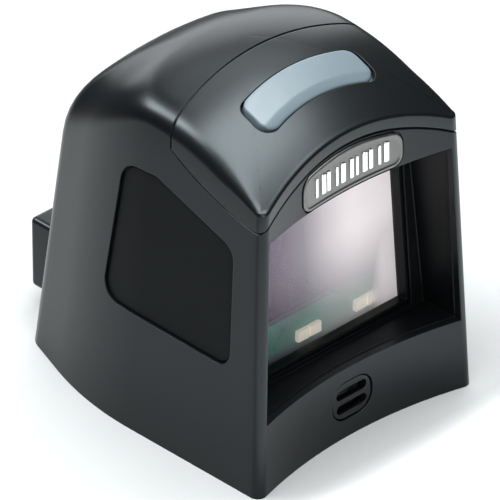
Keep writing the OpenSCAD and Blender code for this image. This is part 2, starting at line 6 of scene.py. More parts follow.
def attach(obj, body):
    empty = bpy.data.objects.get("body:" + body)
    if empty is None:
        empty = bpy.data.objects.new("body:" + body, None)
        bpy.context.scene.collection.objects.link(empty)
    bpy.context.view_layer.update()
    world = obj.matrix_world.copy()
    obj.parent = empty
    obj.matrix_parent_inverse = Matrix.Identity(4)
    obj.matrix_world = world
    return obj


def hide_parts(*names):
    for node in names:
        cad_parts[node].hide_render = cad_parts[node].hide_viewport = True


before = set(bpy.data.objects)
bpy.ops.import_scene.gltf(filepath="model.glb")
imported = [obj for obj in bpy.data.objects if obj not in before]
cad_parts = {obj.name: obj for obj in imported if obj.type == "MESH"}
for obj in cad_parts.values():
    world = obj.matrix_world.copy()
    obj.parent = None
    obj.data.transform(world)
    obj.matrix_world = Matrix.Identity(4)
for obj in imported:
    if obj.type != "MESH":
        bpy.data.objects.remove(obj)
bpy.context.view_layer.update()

# ---- driving dimensions, the same as the CAD's ------------------------------------------------
# millimetres; y counts back from the front corners, x from the middle, z from the foot
ORIGIN_Y = 46.0                       # the origin sits this far behind the front corners
HALF_W = 38.0                         # half width at the foot
FRONT_HOLLOW = 5.8                    # how far the middle of the front lies behind its corners
CORNER_R = 2.4                        # upright front corners
SIDE_RUN = 46.5                       # straight part of each side
SIDE_R, SIDE_TURN = 95.0, 19.6        # long curve behind it
SIDE_L2 = 12.0                        # straight piece behind that curve
REAR_CORNER_R, REAR_TURN = 8.0, 80.0  # rear corner
LIP_Z, ROOF_SLOPE, CROWN_Y = 86.2, 0.70, 42.2     # roof line from the lip to the crown
ROOF_FALL, REAR_FALL = 0.0045, 0.0012             # its fall to both sides, and what the rear adds
FRONT_LEAN, REAR_LEAN, DRAFT = (math.tan(math.radians(a)) for a in (1.9, 8.3, 2.8))
SPINE_Y = 45.0                        # every section of the roof is drawn in towards this line
LIP_R, SHOULDER_R, DOME_R = 1.4, 6.4, 33.0        # rounding between wall and roof, front to rear
DOME_X, DOME_Y, DOME_RUN = 31.6, 9.5, 31.5        # ellipse that closes the dome, and where it takes over
WALL = 2.0
OPEN_W, SILL_Z, HEAD_Z = 34.1, 20.1, 71.1         # front opening: half width at the sill, sill, head
PANEL_Y, WINDOW_TILT, WINDOW_W = 13.0, 5.0, 28.5  # panel with the window, and the window's half width
SEAM_Z, SEAM_ARCH = 74.2, 9.6                     # parting line at the front corners, and its arch
SEAM_R, SEAM_BACK = 147.0, 39.2                   # its curve over the roof
SEAM_STEP = 0.4                                   # step in the skin beside the parting line
BADGE_W, BADGE_Z0, BADGE_Z1 = 17.1, 71.6, 81.6    # badge plate: half width, foot, top of its corners
GRILLE_Z = 10.7                                   # middle of the grille insert
BAR_L, BAR_W, BAR_CORNER = 37.6, 10.8, 3.4        # press bar: length, width, round corners
BAR_R, BAR_Y = 61.4, 23.2                         # radius of its arc, and its middle
BOX_W, BOX_Y = 16.0, 105.5                        # rear socket box: half width, rear face
GRIP_RECESS, BADGE_RECESS = 1.3, 0.7              # how deep the pads and the plate are let in
BADGE_GAP = 0.45                                  # groove round the plate

# outlines as the hull of circles [u, v, radius]
GRIP = [(17, 37.4, 4.7), (17.3, 63, 4.9), (40.5, 69.4, 6), (46, 68, 7), (52.8, 38.3, 5)]
BADGE = [(s*(BADGE_W - 3), BADGE_Z0 + 3, 3) for s in (-1, 1)]
BADGE += [(s*(BADGE_W - 4), BADGE_Z1 - 4, 4) for s in (-1, 1)]
BADGE += [(x, BADGE_Z1 - 4 + 1.5*(1 - x*x/150), 4) for x in (-8, -4, 0, 4, 8)]
GRILLE = [(x, GRILLE_Z + z, 4.9) for x in (-2.2, 2.2) for z in (-0.6, 0.6)]


# ---- camera, at the photograph's viewing angle ------------------------------------------------
def place_camera():
    turn, rise = math.radians(44.53), math.radians(32.49)
    away = 2123.0                     # distance from the front left foot
    view_width = 122.971              # width of the view at that distance
    seen_right, seen_below = 2.43, 62.25      # where that foot is seen from the middle of the view
    sensor = 36
    back = Vector((-math.sin(turn)*math.cos(rise), -math.cos(turn)*math.cos(rise), math.sin(rise)))
    right = Vector((math.cos(turn), -math.sin(turn), 0))
    up = back.cross(right)
    at = Vector((-HALF_W, -ORIGIN_Y, 0)) - right*seen_right + up*seen_below + back*away
    cam = bpy.data.objects.new("camera", bpy.data.cameras.new("camera"))
    bpy.context.scene.collection.objects.link(cam)
    cam.matrix_world = axes(right, up, back, at/1000)
    cam.data.sensor_width = sensor
    cam.data.lens = away/view_width*sensor
    cam.data.clip_start, cam.data.clip_end = 0.1, 20
    bpy.context.scene.camera = cam


def axes(x, y, z, at):
    """matrix that sets a local frame into space"""
    return Matrix(((x.x, y.x, z.x, at.x), (x.y, y.y, z.y, at.y), (x.z, y.z, z.z, at.z), (0, 0, 0, 1)))


# ---- the helmet surface, the same closed form as the CAD --------------------------------------
def cosd(a):
    return np.cos(np.radians(a))


def sind(a):
    return np.sin(np.radians(a))


def smooth(u):
    u = np.clip(u, 0, 1)
    return u*u*(3 - 2*u)


FACE_R = (HALF_W*HALF_W + FRONT_HOLLOW*FRONT_HOLLOW)/(2*FRONT_HOLLOW)
X2 = HALF_W - SIDE_R*(1 - cosd(SIDE_TURN)) - SIDE_L2*sind(SIDE_TURN)
Y2 = SIDE_RUN + SIDE_R*sind(SIDE_TURN) + SIDE_L2*cosd(SIDE_TURN)
X3 = X2 + REAR_CORNER_R*(cosd(REAR_TURN) - cosd(SIDE_TURN))
Y3 = Y2 + REAR_CORNER_R*(sind(REAR_TURN) - sind(SIDE_TURN))
REAR_R = X3/cosd(REAR_TURN)
DEPTH = Y3 + REAR_R*(1 - sind(REAR_TURN))


def plan(i, k):
    """plan drawn in by i, as rows of x, y and the direction that the wall faces"""
    rc = max(CORNER_R - i, 0.25)
    cx = HALF_W - i - rc
    cy = FRONT_HOLLOW - FACE_R + math.sqrt((FACE_R + i + rc)**2 - cx*cx)
    fa = math.degrees(math.asin(cx/(FACE_R + i + rc)))
    out = []

    def arc(ox, oy, r, a, b, n):
        for j in range(1, n + 1):
            f = a + (b - a)*j/n
            out.append((ox + r*cosd(f), oy + r*sind(f), f))

    for j in range(8*k + 1):
        b = fa*j/(8*k)
        out.append(((FACE_R + i)*sind(b), FRONT_HOLLOW - FACE_R + (FACE_R + i)*cosd(b), -90 - b))
    arc(cx, cy, rc, -90 - fa, 0, 4*k)
    for j in range(1, 4*k + 1):
        out.append((HALF_W - i, cy + (SIDE_RUN - cy)*j/(4*k), 0))
    arc(HALF_W - SIDE_R, SIDE_RUN, SIDE_R - i, 0, SIDE_TURN, 4*k)
    for j in range(1, k + 1):
        run = SIDE_L2*j/k
        out.append((HALF_W - SIDE_R*(1 - cosd(SIDE_TURN)) - run*sind(SIDE_TURN) - i*cosd(SIDE_TURN),
                    SIDE_RUN + SIDE_R*sind(SIDE_TURN) + run*cosd(SIDE_TURN) - i*sind(SIDE_TURN), SIDE_TURN))
    arc(X2 - REAR_CORNER_R*cosd(SIDE_TURN), Y2 - REAR_CORNER_R*sind(SIDE_TURN), REAR_CORNER_R - i,
        SIDE_TURN, REAR_TURN, 5*k)
    arc(0, DEPTH - REAR_R, REAR_R - i, REAR_TURN, 90, 3*k)
    right = np.array(out, float)
    left = right[1:-1][::-1].copy()
    left[:, 0] *= -1
    left[:, 2] = 180 - left[:, 2]
    return np.vstack([right, left])


def roof(x, y):
    """rises from the lip to the crown, falls away to both sides and to the rear"""
    t = y - FRONT_HOLLOW
    fall = ROOF_FALL + REAR_FALL*np.clip(y/35, 0, 1)
    return LIP_Z + ROOF_SLOPE*t - ROOF_SLOPE*t*t/(2*(CROWN_Y - FRONT_HOLLOW)) - fall*x*x


def form(i=0.0, k=4, wall_n=10, round_n=14, crown_n=12, foot=0.0):
    """the helmet drawn in by i: rings up the wall, round the shoulder and in to the crown"""
    o = plan(i, k)
    ct, st = cosd(o[:, 2]), sind(o[:, 2])
    side = np.minimum(LIP_R + 0.3*np.maximum(o[:, 1] - 1.5, 0), SHOULDER_R)
    r = side + (DOME_R - side)*smooth((o[:, 1] - SIDE_RUN)/(DEPTH - SIDE_RUN))
    r = np.maximum(r + (LIP_R - r)*smooth(-st) - i, 0.3)
    behind = smooth((o[:, 1] - SIDE_RUN)/DOME_RUN)

    def toward(z, part):
        """part 0 is the wall at height z, part 1 is where the rounding meets the roof"""
        x = o[:, 0]*(1 - DRAFT*z/HALF_W)
        y = FRONT_LEAN*z + o[:, 1]*(1 - z*(FRONT_LEAN + REAR_LEAN)/DEPTH) - SPINE_Y
        e = part*(1 - behind)*r
        g = 1 - part*behind*(1 - 1/np.hypot(x/DOME_X, y/DOME_Y))
        return x*g - e*ct, SPINE_Y + y*g - e*st

    zt = np.full(len(o), 80.0)
    for _ in range(20):
        xe, ye = toward(zt + r, 1)
        zt = roof(xe, ye) - i - r
    rings = []
    for j in range(wall_n + 1):
        f = foot + (1 - foot)*j/wall_n
        x, y = toward(zt*f, 0)
        rings.append(np.c_[x, y, zt*f])
    for j in range(1, round_n + 1):
        a = math.pi/2*j/round_n
        lift = zt + r*math.sin(a)
        x, y = toward(lift, 1 - math.cos(a))
        rings.append(np.c_[x, y, lift + (roof(x, y) - roof(xe, ye))*(1 - math.cos(a))])
    last = rings[-1]
    for j in range(1, crown_n):
        f = 1 - j/crown_n
        x, y = last[:, 0]*f, SPINE_Y + (last[:, 1] - SPINE_Y)*f
        rings.append(np.c_[x, y, roof(x, y) - i])
    ends = [[0, SPINE_Y, rings[0][0, 2]], [0, SPINE_Y, roof(0, SPINE_Y) - i]]
    n, m = len(o), len(rings)
    faces = quads(m, n)
    faces += [(m*n, (a + 1) % n, a) for a in range(n)]
    faces += [(m*n + 1, (m - 1)*n + a, (m - 1)*n + (a + 1) % n) for a in range(n)]
    return solid(np.vstack(rings + [ends]), faces)


def quads(rows, n):
    """faces between closed rows of n points each"""
    return [(j*n + a, j*n + (a + 1) % n, (j + 1)*n + (a + 1) % n, (j + 1)*n + a)
            for j in range(rows - 1) for a in range(n)]


def half_x(y):
    """half width of the plan at y, on the flat foot"""
    if y <= SIDE_RUN:
        return HALF_W
    return HALF_W - SIDE_R + math.sqrt(SIDE_R*SIDE_R - (y - SIDE_RUN)**2)


def side_x(y, z, i):
    """left side wall drawn in by i"""
    foot_y = (y - FRONT_LEAN*z)/(1 - z*(FRONT_LEAN + REAR_LEAN)/DEPTH)
    return i - half_x(foot_y)*(1 - DRAFT*z/HALF_W)


def front_y(x, z, i):
    """front face drawn in by i"""
    foot_x = x/(1 - DRAFT*z/HALF_W)
    face = FRONT_HOLLOW - FACE_R + math.sqrt(FACE_R*FACE_R - foot_x*foot_x)
    return FRONT_LEAN*z + face*(1 - z*(FRONT_LEAN + REAR_LEAN)/DEPTH) + i


# ---- solids and booleans ----------------------------------------------------------------------
def solid(pts, faces, name="part"):
    me = bpy.data.meshes.new(name)
    me.from_pydata([tuple(map(float, p)) for p in pts], [], [tuple(int(v) for v in f) for f in faces])
    me.validate()
    o = bpy.data.objects.new(name, me)
    bpy.context.scene.collection.objects.link(o)
    return o


def boolean(a, b, op):
    """a combined with b, which is used up"""
    m = a.modifiers.new("b", "BOOLEAN")
    m.operation, m.solver, m.object = op, "MANIFOLD", b
    bpy.context.view_layer.update()
    me = bpy.data.meshes.new_from_object(a.evaluated_get(bpy.context.evaluated_depsgraph_get()))
    used = a.data, b.data
    a.modifiers.clear()
    a.data = me
    bpy.data.objects.remove(b)
    for old in used:
        bpy.data.meshes.remove(old)
    if len(me.vertices) == 0:
        raise RuntimeError("a boolean left nothing: " + op)
    return a


def cut(a, *bs):
    for b in bs:
        boolean(a, b, "DIFFERENCE")
    return a


def common(a, *bs):
    for b in bs:
        boolean(a, b, "INTERSECT")
    return a


def join(a, *bs):
    for b in bs:
        boolean(a, b, "UNION")
    return a


def prism(outline, lo, hi, m=Matrix.Identity(4)):
    """an outline [(u, v)] run along w from lo to hi, set in space by m"""
    n = len(outline)
    ahead = outline[1:] + outline[:1]
    if sum(p[0]*q[1] - q[0]*p[1] for p, q in zip(outline, ahead)) < 0:
        outline = outline[::-1]
    pts = [m @ Vector((u, v, w)) for w in (lo, hi) for u, v in outline]
    faces = [tuple(range(n))[::-1], tuple(range(n, 2*n))]
    faces += [(i, (i + 1) % n, n + (i + 1) % n, n + i) for i in range(n)]
    if m.to_3x3().determinant() < 0:
        faces = [f[::-1] for f in faces]
    return solid(pts, faces)


def block(x, y, z, m=Matrix.Identity(4)):
    return prism([(x[0], y[0]), (x[1], y[0]), (x[1], y[1]), (x[0], y[1])], z[0], z[1], m)


def convex_outline(points):
    p = sorted(set((round(a, 5), round(b, 5)) for a, b in points))

    def turns_left(a, b, c):
        return (b[0] - a[0])*(c[1] - a[1]) - (b[1] - a[1])*(c[0] - a[0]) > 1e-9

    def half(q):
        out = []
        for a in q:
            while len(out) > 1 and not turns_left(out[-2], out[-1], a):
                out.pop()
            out.append(a)
        return out[:-1]

    return half(p) + half(p[::-1])


def circles(cs, g=0.0, n=48):
    """outline round circles [(u, v, radius)], drawn in by g"""
    turns = [2*math.pi*j/n for j in range(n)]
    return convex_outline([(x + (r - g)*math.cos(t), y + (r - g)*math.sin(t))
                           for x, y, r in cs for t in turns])


def resample(outline, n):
    """n points spread evenly round an outline"""
    p = np.array(outline + [outline[0]], float)
    s = np.r_[0, np.cumsum(np.linalg.norm(np.diff(p, axis=0), axis=1))]
    t = np.linspace(0, s[-1], n + 1)[:-1]
    return np.c_[np.interp(t, s, p[:, 0]), np.interp(t, s, p[:, 1])]


FRONT = Matrix(((1, 0, 0, 0), (0, 0, 1, 0), (0, 1, 0, 0), (0, 0, 0, 1)))       # u, v, w -> x, z, y
SIDEWAYS = Matrix(((0, 0, 1, 0), (1, 0, 0, 0), (0, 1, 0, 0), (0, 0, 0, 1)))    # u, v, w -> y, z, x
TILTED = Matrix.Translation((0, PANEL_Y, 0)) @ Matrix.Rotation(math.radians(-WINDOW_TILT), 4, "X")
BAR_LEAN = math.atan(ROOF_SLOPE*(1 - (BAR_Y - FRONT_HOLLOW)/(CROWN_Y - FRONT_HOLLOW)))
AT_BAR = Matrix.Translation((0, BAR_Y, roof(0, BAR_Y))) @ Matrix.Rotation(BAR_LEAN, 4, "X")


def seam_z(x, y):
    """parting surface under the hood: arched over the middle of the front, rising to the rear"""
    t = np.maximum(y - 6, 0)
    arch = SEAM_ARCH*(1 - x*x/1200)*np.clip(1.55 - y/18, 0, 1)
    return SEAM_Z + 0.15*t + 0.0075*t*t + arch


def hood_zone(g):
    """everything of the hood, lifted and drawn in by g from the parting line"""
    nx, ny = 48, 44
    reach, first_y, last_y, top_z = 41.4, -6, 48, 130
    gx, gy = np.meshgrid(np.linspace(-reach, reach, nx + 1), np.linspace(first_y, last_y, ny + 1))
    low = np.c_[gx.ravel(), gy.ravel(), (seam_z(gx, gy) + g).ravel()]
    high = low.copy()
    high[:, 2] = top_z
    w, q = nx + 1, len(low)
    rim = list(range(nx)) + [j*w + nx for j in range(ny)]
    rim += [ny*w + i for i in range(nx, 0, -1)] + [j*w for j in range(ny, 0, -1)]
    cells = [a for j in range(ny) for a in range(j*w, j*w + nx)]
    faces = [(a, a + w, a + w + 1, a + 1) for a in cells]
    faces += [(q + a, q + a + 1, q + a + w + 1, q + a + w) for a in cells]
    faces += [(a, b, b + q, a + q) for a, b in zip(rim, rim[1:] + rim[:1])]
    n = 720
    turns = [2*math.pi*j/n for j in range(n)]
    ring = [((SEAM_R - g)*math.cos(t), SEAM_BACK - SEAM_R + (SEAM_R - g)*math.sin(t)) for t in turns]
    return common(solid(np.vstack([low, high]), faces), prism(ring, 0, 125))


def front_opening(g=0.0):
    low, top = OPEN_W - g, OPEN_W - g - DRAFT*(HEAD_Z - SILL_Z)
    outline = [(-low, SILL_Z + g), (low, SILL_Z + g), (top, HEAD_Z - g), (-top, HEAD_Z - g)]
    return prism(outline, -8, 12, FRONT)


def bar_outline(g, more=0.0, n=14):
    """curved bar grown by g: two arcs about one centre, cut off at its ends, with round corners"""
    end, c = BAR_L/2 + more - BAR_CORNER, BAR_CORNER + g
    outer, inner = BAR_R + BAR_W/2 - BAR_CORNER, BAR_R - BAR_W/2 + BAR_CORNER
    out = []

    def corner(r, cx, a, b):
        cy = r*math.cos(math.asin(end/r)) - BAR_R
        for j in range(n + 1):
            t = a + (b - a)*j/n
            out.append((cx + c*math.cos(t), cy + c*math.sin(t)))

    for r, side, way in ((outer, 1, math.pi/2), (inner, -1, -math.pi/2)):
        turn = math.asin(end/r)
        corner(r, -side*end, way + math.pi/2, way + side*turn)
        for j in range(1, 3*n):
            a = side*turn*(2*j/(3*n) - 1)
            out.append(((r + side*c)*math.sin(a), (r + side*c)*math.cos(a) - BAR_R))
        corner(r, side*end, way - side*turn, way - math.pi/2)
    return out


def skin_plate(loop, mid, rim, bottom, place, n=140, rings=10):
    """plate on a curved skin: loop(inset) is its outline round mid, rim is [(inset, depth)] from its
    foot over its rounded edge, and place(u, v, depth) sets a point on the skin"""
    rows = []
    for g, d in rim:
        last = resample(loop(g), n)
        # every loop starts at the same bearing so that rows line up
        bearing = np.arctan2(last[:, 1] - mid[1], last[:, 0] - mid[0])
        last = np.roll(last, -np.argmin(np.abs(bearing)), 0)
        rows.append([place(u, v, d) for u, v in last])
    face = rim[-1][1]
    for j in range(1, rings):
        rows.append([place(u, v, face) for u, v in mid + (last - mid)*(1 - j/rings)])
    m = len(rows)
    pts = [p for row in rows for p in row] + [place(mid[0], mid[1], face), place(mid[0], mid[1], bottom)]
    faces = quads(m, n)
    faces += [(m*n, (m - 1)*n + a, (m - 1)*n + (a + 1) % n) for a in range(n)]
    faces += [(m*n + 1, (a + 1) % n, a) for a in range(n)]
    o = solid(pts, faces)
    bm = bmesh.new()
    bm.from_mesh(o.data)
    bmesh.ops.recalc_face_normals(bm, faces=bm.faces)
    bm.to_mesh(o.data)
    bm.free()
    return o


def hull_plate(cs, rim, bottom, place, **kw):
    """skin plate with the outline of circles"""
    mid = np.array([np.mean([c[0] for c in cs]), np.mean([c[1] for c in cs])])
    return skin_plate(lambda g: circles(cs, g, 64), mid, rim, bottom, place, **kw)


def on_front(u, v, d):
    return u, front_y(u, v, d), v


def rounded_box(x, y, z, r, n=8):
    """box whose corners and edges are rounded by r"""
    bm = bmesh.new()
    for sx in (-1, 1):
        for sy in (-1, 1):
            for sz in (-1, 1):
                cx, cy, cz = ((s[0] + r if way < 0 else s[1] - r) for s, way in ((x, sx), (y, sy), (z, sz)))
                for p in (math.pi/2*a/n for a in range(n + 1)):
                    for q in (math.pi/2*b/n for b in range(n + 1)):
                        bm.verts.new((cx + sx*r*math.cos(p)*math.cos(q), cy + sy*r*math.sin(p)*math.cos(q),
                                      cz + sz*r*math.sin(q)))
    bmesh.ops.remove_doubles(bm, verts=bm.verts, dist=1e-5)
    bmesh.ops.convex_hull(bm, input=bm.verts)
    o = solid([], [], "box")
    bm.to_mesh(o.data)
    bm.free()
    return o


# ---- finishing: into place, on its body, in its material --------------------------------------
def done(o, name, body, mat, replaces=(), angle=32):
    o.data.transform(Matrix.Diagonal((0.001, 0.001, 0.001, 1)) @ Matrix.Translation((0, -ORIGIN_Y, 0)))
    bm = bmesh.new()
    bm.from_mesh(o.data)
    bmesh.ops.remove_doubles(bm, verts=bm.verts, dist=1e-7)
    bmesh.ops.dissolve_degenerate(bm, edges=bm.edges, dist=1e-7)
    bm.to_mesh(o.data)
    bm.free()
    o.name = o.data.name = name
    for p in o.data.polygons:
        p.use_smooth = True
    o.data.set_sharp_from_angle(angle=math.radians(angle))
    o.data.materials.clear()
    o.data.materials.append(mat)
    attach(o, body)
    if replaces:
        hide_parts(*replaces)
    return o


# ---- materials --------------------------------------------------------------------------------
def material(name):
    m = bpy.data.materials.new(name)
    m.use_nodes = True
    return m, m.node_tree, m.node_tree.nodes["Principled BSDF"]


def add(tree, kind, **kw):
    node = tree.nodes.new(kind)
    for k, v in kw.items():
        if k in node.inputs:
            node.inputs[k].default_value = v
        else:
            setattr(node, k, v)
    return node


def link(source, target):
    source.id_data.links.new(source, target)


def noise(tree, scale, detail=2.0, roughness=0.5):
    """noise over the object's own coordinates"""
    place = add(tree, "ShaderNodeTexCoord")
    texture = add(tree, "ShaderNodeTexNoise", Scale=float(scale), Detail=detail, Roughness=roughness)
    link(place.outputs["Object"], texture.inputs["Vector"])
    return texture.outputs["Fac"]


def colours(tree, source, first, last, start=0.0, end=1.0):
    """colour ramp over a value"""
    ramp = add(tree, "ShaderNodeValToRGB")
    low, high = ramp.color_ramp.elements
    low.position, high.position = start, end
    low.color, high.color = (*first, 1), (*last, 1)
    link(source, ramp.inputs["Fac"])
    return ramp


def mapped(tree, source, span, to, **kw):
    """value moved from one span to another, held at its ends"""
    node = add(tree, "ShaderNodeMapRange", **kw)
    for k, v in zip(("From Min", "From Max", "To Min", "To Max"), (*span, *to)):
        node.inputs[k].default_value = v
    link(source, node.inputs["Value"])
    return node.outputs["Result"]


def eased(tree, source, span, to):
    return mapped(tree, source, span, to, interpolation_type="SMOOTHSTEP")


def rounded_edges(tree, edge):
    return add(tree, "ShaderNodeBevel", samples=6, Radius=edge).outputs["Normal"]


def bumped(tree, height, strength, distance, edge):
    """fine bumps over edges rounded by a radius in metres"""
    bump = add(tree, "ShaderNodeBump", Strength=strength, Distance=distance)
    link(height, bump.inputs["Height"])
    link(rounded_edges(tree, edge), bump.inputs["Normal"])
    return bump.outputs["Normal"]


def moulded(name, rgb, rough, grain, depth, vary, edge=0.0003, coat=0.0, spec=0.5, glow=0.0):
    """moulded plastic or a like skin: fine texture, slight colour and gloss variation, softened edges"""
    m, tree, b = material(name)
    fine = noise(tree, grain, roughness=0.6)
    darker = [c*(1 - vary) for c in rgb]
    lighter = [min(c*(1 + vary), 1) for c in rgb]
    ramp = colours(tree, noise(tree, 38, detail=3.0), darker, lighter, 0.3, 0.7)
    link(ramp.outputs["Color"], b.inputs["Base Color"])
    link(mapped(tree, fine, (0, 1), (rough - 0.04, rough + 0.05)), b.inputs["Roughness"])
    link(bumped(tree, fine, depth, 0.0001, edge), b.inputs["Normal"])
    b.inputs["Specular IOR Level"].default_value = spec
    b.inputs["Specular Tint"].default_value = (0.87, 0.97, 1.0, 1)
    b.inputs["Coat Weight"].default_value = coat
    if glow:
        link(ramp.outputs["Color"], b.inputs["Emission Color"])
        b.inputs["Emission Strength"].default_value = glow
    return m


def brushed(name, rgb, rough, grain):
    """metal with streaks: grain is the noise scale along each axis"""
    m, tree, b = material(name)
    place = add(tree, "ShaderNodeTexCoord")
    stretch = add(tree, "ShaderNodeMapping", Scale=tuple(60.0*g for g in grain))
    streaks = add(tree, "ShaderNodeTexNoise", Scale=20.0, Detail=4.0)
    link(place.outputs["Object"], stretch.inputs["Vector"])
    link(stretch.outputs["Vector"], streaks.inputs["Vector"])
    value = streaks.outputs["Fac"]
    ramp = colours(tree, value, [c*0.86 for c in rgb], [min(c*1.1, 1) for c in rgb])
    link(ramp.outputs["Color"], b.inputs["Base Color"])
    link(mapped(tree, value, (0, 1), (rough*0.75, rough*1.3)), b.inputs["Roughness"])
    link(bumped(tree, value, 0.1, 0.00005, 0.0002), b.inputs["Normal"])
    b.inputs["Metallic"].default_value = 1.0
    return m


def diffuser():
    """pale blue translucent moulding"""
    m, tree, b = material("pale_blue_diffuser")
    ramp = colours(tree, noise(tree, 160, detail=3.0), (0.080, 0.106, 0.121), (0.098, 0.128, 0.145))
    link(ramp.outputs["Color"], b.inputs["Base Color"])
    link(rounded_edges(tree, 0.0004), b.inputs["Normal"])
    b.inputs["Roughness"].default_value = 0.42
    b.inputs["Subsurface Weight"].default_value = 0.35
    b.inputs["Subsurface Radius"].default_value = (0.4, 0.7, 1.0)
    b.inputs["Subsurface Scale"].default_value = 0.002
    return m


def mixed(tree, share, first, second):
    mix = add(tree, "ShaderNodeMixShader")
    link(share, mix.inputs["Fac"])
    link(first, mix.inputs[1])
    link(second, mix.inputs[2])
    return mix.outputs["Shader"]


def pane():
    """clear pane under a film with a painted reflection: violet and thin on the left and low down, milky to
    the right, where the painted sheen is brightest
    """
    m, tree, b = material("pane_painted_sheen")
    place = add(tree, "ShaderNodeTexCoord")
    split = add(tree, "ShaderNodeSeparateXYZ")
    link(place.outputs["Object"], split.inputs["Vector"])
    x, z = split.outputs["X"], split.outputs["Z"]

    def combined(a, b, how="MULTIPLY"):
        node = add(tree, "ShaderNodeMath", operation=how)
        link(a, node.inputs[0])
        link(b, node.inputs[1])
        return node.outputs["Value"]

    # painted reflection: the film's share of the pane grows to the right, towards the top and along the
    # right edge, standing in for the sheen that a reflection lays over the pane; low down it stays thin so
    # that the boards behind show through
    across = eased(tree, x, (-0.028, 0.018), (0.32, 0.96))
    height = eased(tree, z, (0.026, 0.050), (0.30, 1.0))
    painted_sheen_right_edge = eased(tree, x, (0.018, 0.025), (0.2, 0.8))
    uneven = eased(tree, noise(tree, 22), (0.3, 0.7), (0.92, 1.0))
    painted_sheen_cover = combined(combined(across, combined(height, painted_sheen_right_edge, "MAXIMUM")), uneven)
    # painted reflection in the colour: violet on the left is the film's own colour, and it pales to near
    # white on the right, where the painted sheen is brightest
    painted_sheen_tint = colours(tree, across, (0.25, 0.185, 0.26), (0.84, 0.76, 0.77), 0.35, 0.96)
    painted_sheen_tint.color_ramp.elements.new(0.70).color = (0.37, 0.335, 0.365, 1)
    painted_sheen_diffuse = add(tree, "ShaderNodeBsdfDiffuse")
    sheen = add(tree, "ShaderNodeBsdfGlossy", Roughness=0.22)
    for skin in (painted_sheen_diffuse, sheen):
        link(painted_sheen_tint.outputs["Color"], skin.inputs["Color"])
    gloss = eased(tree, x, (-0.024, 0.014), (0.14, 0.05))
    painted_sheen_layer = mixed(tree, gloss, painted_sheen_diffuse.outputs["BSDF"], sheen.outputs["BSDF"])
    clear = add(tree, "ShaderNodeBsdfTransparent", Color=(0.86, 0.90, 0.92, 1))
    surface = mixed(tree, painted_sheen_cover, clear.outputs["BSDF"], painted_sheen_layer)
    link(surface, tree.nodes["Material Output"].inputs["Surface"])
    tree.nodes.remove(b)
    return m


def lens_glass():
    m, tree, b = material("lens_glass")
    ramp = colours(tree, noise(tree, 60), (0.10, 0.12, 0.22), (0.16, 0.12, 0.24))
    link(ramp.outputs["Color"], b.inputs["Base Color"])
    b.inputs["Roughness"].default_value = 0.05
    b.inputs["Coat Weight"].default_value = 1.0
    return m


# moulded: name, colour, roughness, grain, its depth, variation, radius of the softened edges
# brushed: name, colour, roughness, grain along each axis
M = {
    "shell": moulded("charcoal_shell", (0.0026, 0.0031, 0.0037), 0.29, 2400, 0.05, 0.08, spec=0.25),
    "hood": moulded("charcoal_hood", (0.0028, 0.0033, 0.0036), 0.30, 2400, 0.12, 0.08, spec=0.34),
    "black": moulded("black_tunnel", (0.0014, 0.0016, 0.0018), 0.38, 1800, 0.04, 0.15, 0.0006, spec=0.17),
    "grip": moulded("grip_pad", (0.0018, 0.0023, 0.0026), 0.55, 1500, 0.3, 0.12, spec=0.10),
    "rubber": moulded("gasket_rubber", (0.006, 0.006, 0.006), 0.8, 1200, 0.3, 0.2),
    "badge": brushed("badge_satin", (0.13, 0.13, 0.126), 0.34, (1, 1, 40)),
    "bright": brushed("badge_bright", (0.62, 0.62, 0.61), 0.2, (40, 1, 1)),
    "white": moulded("carrier_white", (0.42, 0.43, 0.42), 0.45, 1800, 0.1, 0.04),
    "board": moulded("solder_mask", (0.02, 0.30, 0.15), 0.28, 500, 0.3, 0.35, coat=0.3),
    "chip": moulded("chip_black", (0.012, 0.012, 0.013), 0.55, 3000, 0.2, 0.1),
    "lamp": moulded("lamp_ceramic", (0.80, 0.66, 0.50), 0.35, 900, 0.1, 0.1, glow=0.7),
    "ivory": moulded("ivory_nylon", (0.5, 0.46, 0.34), 0.45, 1500, 0.1, 0.05),
    "steel": brushed("plated_steel", (0.5, 0.5, 0.5), 0.3, (1, 30, 1)),
    "brass": brushed("machined_brass", (0.6, 0.42, 0.16), 0.28, (1, 1, 50)),
    "flex": moulded("flex_film", (0.32, 0.13, 0.02), 0.3, 700, 0.1, 0.2, coat=0.4),
    "label": moulded("label_film", (0.42, 0.42, 0.4), 0.5, 1200, 0.06, 0.04),
    "bar": diffuser(),
    "pane": pane(),
    "lens": lens_glass(),
}


# ---- mouldings --------------------------------------------------------------------------------
def housing():
    """the outer skin is drawn back from the parting line down to a step, which leaves a V"""
    house = join(cut(form(0), hood_zone(-0.22)), cut(form(SEAM_STEP), hood_zone(0.0)))
    socket_hole = block((-10.9, 10.9), (85, 110), (5.8, 24))
    cut(house, form(WALL, k=3, round_n=12, crown_n=8, foot=-0.03), front_opening(),
        prism(circles(GRILLE, 0), -8, 12, FRONT), socket_hole)
    for s in (1, -1):
        recess = cut(form(-1), form(GRIP_RECESS))
        common(recess, prism(circles(GRIP), -44, -20, SIDEWAYS))
        if s < 0:
            recess.data.transform(Matrix.Diagonal((-1, 1, 1, 1)))
            recess.data.flip_normals()
        cut(house, recess)
    cut(house, common(cut(form(-1), form(BADGE_RECESS)), prism(circles(BADGE, -BADGE_GAP), -8, 12, FRONT)))
    done(house, "housing_shell", "head", M["shell"], ("main_housing",))


def hood_shell():
    hood = join(common(form(0), hood_zone(0.42)), common(form(SEAM_STEP), hood_zone(0.14)))
    cut(hood, form(WALL, k=3, round_n=12, crown_n=8), prism(bar_outline(0.3, 0.9), -12, 8, AT_BAR))
    done(hood, "hood_shell", "head", M["hood"], ("hood",))


